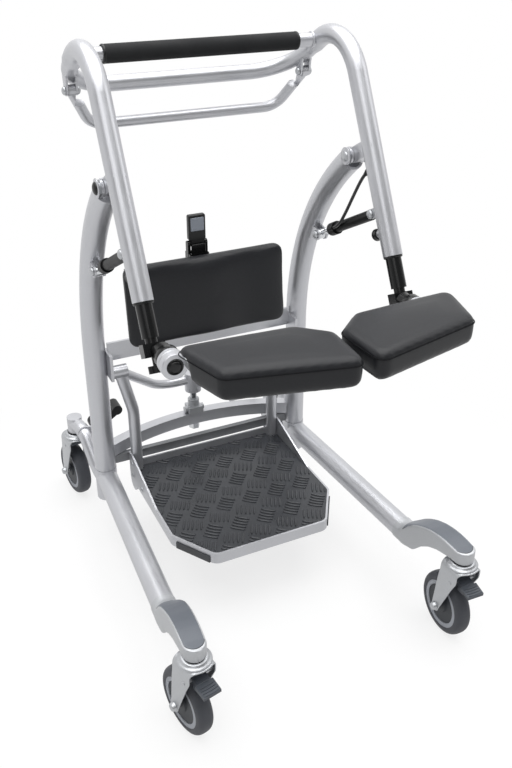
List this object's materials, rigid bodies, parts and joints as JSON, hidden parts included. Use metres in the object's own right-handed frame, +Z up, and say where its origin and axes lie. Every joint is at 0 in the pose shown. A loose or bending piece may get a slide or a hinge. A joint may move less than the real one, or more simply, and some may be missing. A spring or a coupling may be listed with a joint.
{
  "type": "patient turner",
  "caption": "Wheeled stand-assist transfer aid with hinged legs, footplate, sliding knee rest, tilting handle frame on struts and padded flip-up seat halves.",
  "frame": {"origin": "on the floor, under the middle of the overall outline", "axes": "+Z up, +Y towards the handle end where the carer stands, +X to the right seen from the seat end"},
  "size_m": [0.5999, 0.8969, 1.0623],
  "materials": {
    "silver_frame": "metallic powder coat",
    "zinc": "zinc plated",
    "chrome_rod": "polished",
    "black_metal": "satin black",
    "black_plastic": "matt black",
    "grey_plastic": "matt grey",
    "rim_grey": "satin grey",
    "tyre_rubber": "dark grey rubber",
    "pad_cover": "charcoal coated cover",
    "grip_foam": "matt foam",
    "mat_rubber": "moulded rubber"
  },
  "bodies": {
    "frame": {"upright_left": "silver_frame", "upright_right": "silver_frame", "bowed_bar": "zinc", "flat_bar": "zinc", "knee_frame": "silver_frame", "column_rod": "chrome_rod", "column_clevis": "zinc", "knee_rail": "silver_frame", "footplate_tray": "silver_frame", "footplate_rubber": "mat_rubber", "frame_bolts": "zinc"},
    "handle_frame": {"arm_left": "silver_frame", "arm_right": "silver_frame", "cross_tube": "silver_frame", "grip_tube": "silver_frame", "grip_sleeve": "grip_foam"},
    "release_bar": {"release_bar": "silver_frame"},
    "knee_rest": {"knee_carriage": "black_metal", "knee_pad": "pad_cover"},
    "knee_lever": {"knee_lever": "black_plastic"},
    "leg_left": {"leg_left": "silver_frame", "front_housing_left": "silver_frame", "housing_inlay_left": "grey_plastic"},
    "leg_pedal_left": {"leg_pedal_left": "black_plastic"},
    "strut_left": {"strut_barrel_left": "black_metal", "release_cable_left": "black_plastic"},
    "strut_rod_left": {"strut_rod_left": "chrome_rod"},
    "seat_post_left": {"seat_post_left": "black_metal"},
    "seat_left": {"seat_hinge_left": "silver_frame", "seat_pad_left": "pad_cover"},
    "seat_knob_left": {"seat_knob_left": "black_plastic"},
    "index_knob_left": {"index_knob_left": "black_plastic"},
    "leg_right": {"leg_right": "silver_frame", "front_housing_right": "silver_frame", "housing_inlay_right": "grey_plastic"},
    "leg_pedal_right": {"leg_pedal_right": "black_plastic"},
    "strut_right": {"strut_barrel_right": "black_metal", "release_cable_right": "black_plastic"},
    "strut_rod_right": {"strut_rod_right": "chrome_rod"},
    "seat_post_right": {"seat_post_right": "black_metal"},
    "seat_right": {"seat_hinge_right": "silver_frame", "seat_pad_right": "pad_cover"},
    "seat_knob_right": {"seat_knob_right": "black_plastic"},
    "index_knob_right": {"index_knob_right": "black_plastic"},
    "castor_fl": {"castor_fork_fl": "zinc"},
    "wheel_fl": {"tyre_fl": "tyre_rubber", "rim_fl": "rim_grey"},
    "brake_fl": {"brake_pedal_fl": "grey_plastic"},
    "castor_fr": {"castor_fork_fr": "zinc"},
    "wheel_fr": {"tyre_fr": "tyre_rubber", "rim_fr": "rim_grey"},
    "brake_fr": {"brake_pedal_fr": "grey_plastic"},
    "castor_rl": {"castor_fork_rl": "zinc"},
    "wheel_rl": {"tyre_rl": "tyre_rubber", "rim_rl": "rim_grey"},
    "brake_rl": {"brake_pedal_rl": "grey_plastic"},
    "castor_rr": {"castor_fork_rr": "zinc"},
    "wheel_rr": {"tyre_rr": "tyre_rubber", "rim_rr": "rim_grey"},
    "brake_rr": {"brake_pedal_rr": "grey_plastic"}
  },
  "joints": [
    {"name": "handle_tilt", "type": "hinge", "parent": "frame", "child": "handle_frame", "pos_m": [0, 0.00204, 0.84807], "axis": [-1, 0, 0], "range_deg": [0, 22]},
    {"name": "release_bar_squeeze", "type": "hinge", "parent": "handle_frame", "child": "release_bar", "pos_m": [0, 0.20411, 0.965], "axis": [1, 0, 0], "range_deg": [0, 15], "stiffness_Nm_per_rad": 6, "springref_deg": -14.32},
    {"name": "knee_rest_height", "type": "slide", "parent": "frame", "child": "knee_rest", "axis": [0, 0, 1], "range_m": [-0.015, 0.045]},
    {"name": "knee_lever_pull", "type": "hinge", "parent": "knee_rest", "child": "knee_lever", "pos_m": [0, 0.21611, 0.645], "axis": [-1, 0, 0], "range_deg": [0, 20], "stiffness_Nm_per_rad": 1.5, "springref_deg": -17.19},
    {"name": "leg_spread_left", "type": "hinge", "parent": "frame", "child": "leg_left", "pos_m": [-0.233, 0.21311, 0.14], "axis": [0, 0, -1], "range_deg": [0, 8]},
    {"name": "leg_pedal_press_left", "type": "hinge", "parent": "leg_left", "child": "leg_pedal_left", "pos_m": [-0.22, 0.32611, 0.206], "axis": [0, 1, 0], "range_deg": [0, 12], "stiffness_Nm_per_rad": 4, "springref_deg": -17.19},
    {"name": "strut_swing_left", "type": "hinge", "parent": "handle_frame", "child": "strut_left", "pos_m": [-0.233, -0.07689, 0.761], "axis": [1, 0, 0], "range_deg": [-1, 18.89], "deforming": ["release_cable_left"]},
    {"name": "strut_stroke_left", "type": "slide", "parent": "strut_left", "child": "strut_rod_left", "axis": [0, 0.888, -0.4599], "range_m": [-0.002, 0.0436]},
    {"name": "seat_reach_left", "type": "slide", "parent": "handle_frame", "child": "seat_post_left", "axis": [0, -0.4617, -0.887], "range_m": [-0.045, 0.035]},
    {"name": "seat_flip_left", "type": "hinge", "parent": "seat_post_left", "child": "seat_left", "pos_m": [-0.225, -0.23389, 0.639], "axis": [0, -1, 0], "range_deg": [0, 95]},
    {"name": "seat_knob_turn_left", "type": "hinge", "parent": "seat_post_left", "child": "seat_knob_left", "pos_m": [-0.233, -0.19076, 0.6062], "axis": [0, -0.4617, -0.887], "continuous": true},
    {"name": "index_pull_left", "type": "slide", "parent": "handle_frame", "child": "index_knob_left", "axis": [0, 0.887, -0.4617], "range_m": [0, 0.008], "stiffness_N_per_m": 600, "springref_m": -0.008},
    {"name": "leg_spread_right", "type": "hinge", "parent": "frame", "child": "leg_right", "pos_m": [0.233, 0.21311, 0.14], "axis": [0, 0, 1], "range_deg": [0, 8]},
    {"name": "leg_pedal_press_right", "type": "hinge", "parent": "leg_right", "child": "leg_pedal_right", "pos_m": [0.22, 0.32611, 0.206], "axis": [0, -1, 0], "range_deg": [0, 12], "stiffness_Nm_per_rad": 4, "springref_deg": -17.19},
    {"name": "strut_swing_right", "type": "hinge", "parent": "handle_frame", "child": "strut_right", "pos_m": [0.233, -0.07689, 0.761], "axis": [1, 0, 0], "range_deg": [-1, 18.89], "deforming": ["release_cable_right"]},
    {"name": "strut_stroke_right", "type": "slide", "parent": "strut_right", "child": "strut_rod_right", "axis": [0, 0.888, -0.4599], "range_m": [-0.002, 0.0436]},
    {"name": "seat_reach_right", "type": "slide", "parent": "handle_frame", "child": "seat_post_right", "axis": [0, -0.4617, -0.887], "range_m": [-0.045, 0.035]},
    {"name": "seat_flip_right", "type": "hinge", "parent": "seat_post_right", "child": "seat_right", "pos_m": [0.225, -0.23389, 0.639], "axis": [0, 1, 0], "range_deg": [0, 95]},
    {"name": "seat_knob_turn_right", "type": "hinge", "parent": "seat_post_right", "child": "seat_knob_right", "pos_m": [0.233, -0.19076, 0.6062], "axis": [0, -0.4617, -0.887], "continuous": true},
    {"name": "index_pull_right", "type": "slide", "parent": "handle_frame", "child": "index_knob_right", "axis": [0, 0.887, -0.4617], "range_m": [0, 0.008], "stiffness_N_per_m": 600, "springref_m": -0.008},
    {"name": "castor_swivel_fl", "type": "hinge", "parent": "leg_left", "child": "castor_fl", "pos_m": [-0.26587, -0.39389, 0.176], "axis": [0, 0, 1], "continuous": true},
    {"name": "wheel_spin_fl", "type": "hinge", "parent": "castor_fl", "child": "wheel_fl", "pos_m": [-0.2717, -0.36651, 0.0625], "axis": [0.9781, 0.2079, 0], "continuous": true},
    {"name": "brake_press_fl", "type": "hinge", "parent": "castor_fl", "child": "brake_fl", "pos_m": [-0.26463, -0.39976, 0.147], "axis": [0.9781, 0.2079, 0], "range_deg": [0, 10]},
    {"name": "castor_swivel_fr", "type": "hinge", "parent": "leg_right", "child": "castor_fr", "pos_m": [0.26587, -0.39389, 0.176], "axis": [0, 0, 1], "continuous": true},
    {"name": "wheel_spin_fr", "type": "hinge", "parent": "castor_fr", "child": "wheel_fr", "pos_m": [0.26685, -0.36591, 0.0625], "axis": [0.9994, -0.0349, 0], "continuous": true},
    {"name": "brake_press_fr", "type": "hinge", "parent": "castor_fr", "child": "brake_fr", "pos_m": [0.26566, -0.39989, 0.147], "axis": [0.9994, -0.0349, 0], "range_deg": [0, 10]},
    {"name": "castor_swivel_rl", "type": "hinge", "parent": "leg_left", "child": "castor_rl", "pos_m": [-0.26, 0.35611, 0.176], "axis": [0, 0, 1], "continuous": true},
    {"name": "wheel_spin_rl", "type": "hinge", "parent": "castor_rl", "child": "wheel_rl", "pos_m": [-0.2639, 0.38383, 0.0625], "axis": [0.9903, 0.1392, 0], "continuous": true},
    {"name": "brake_press_rl", "type": "hinge", "parent": "castor_rl", "child": "brake_rl", "pos_m": [-0.26083, 0.36205, 0.147], "axis": [-0.9903, -0.1392, 0], "range_deg": [0, 10]},
    {"name": "castor_swivel_rr", "type": "hinge", "parent": "leg_right", "child": "castor_rr", "pos_m": [0.26, 0.35611, 0.176], "axis": [0, 0, 1], "continuous": true},
    {"name": "wheel_spin_rr", "type": "hinge", "parent": "castor_rr", "child": "wheel_rr", "pos_m": [0.2639, 0.38383, 0.0625], "axis": [0.9903, -0.1392, 0], "continuous": true},
    {"name": "brake_press_rr", "type": "hinge", "parent": "castor_rr", "child": "brake_rr", "pos_m": [0.26083, 0.36205, 0.147], "axis": [-0.9903, 0.1392, 0], "range_deg": [0, 10]}
  ],
  "couplings": [
    {"joint": "strut_swing_left", "follows": "handle_tilt", "ratio": 0.813},
    {"joint": "strut_stroke_left", "follows": "handle_tilt", "m_per_rad": 0.1084},
    {"joint": "strut_swing_right", "follows": "handle_tilt", "ratio": 0.813},
    {"joint": "strut_stroke_right", "follows": "handle_tilt", "m_per_rad": 0.1084}
  ]
}
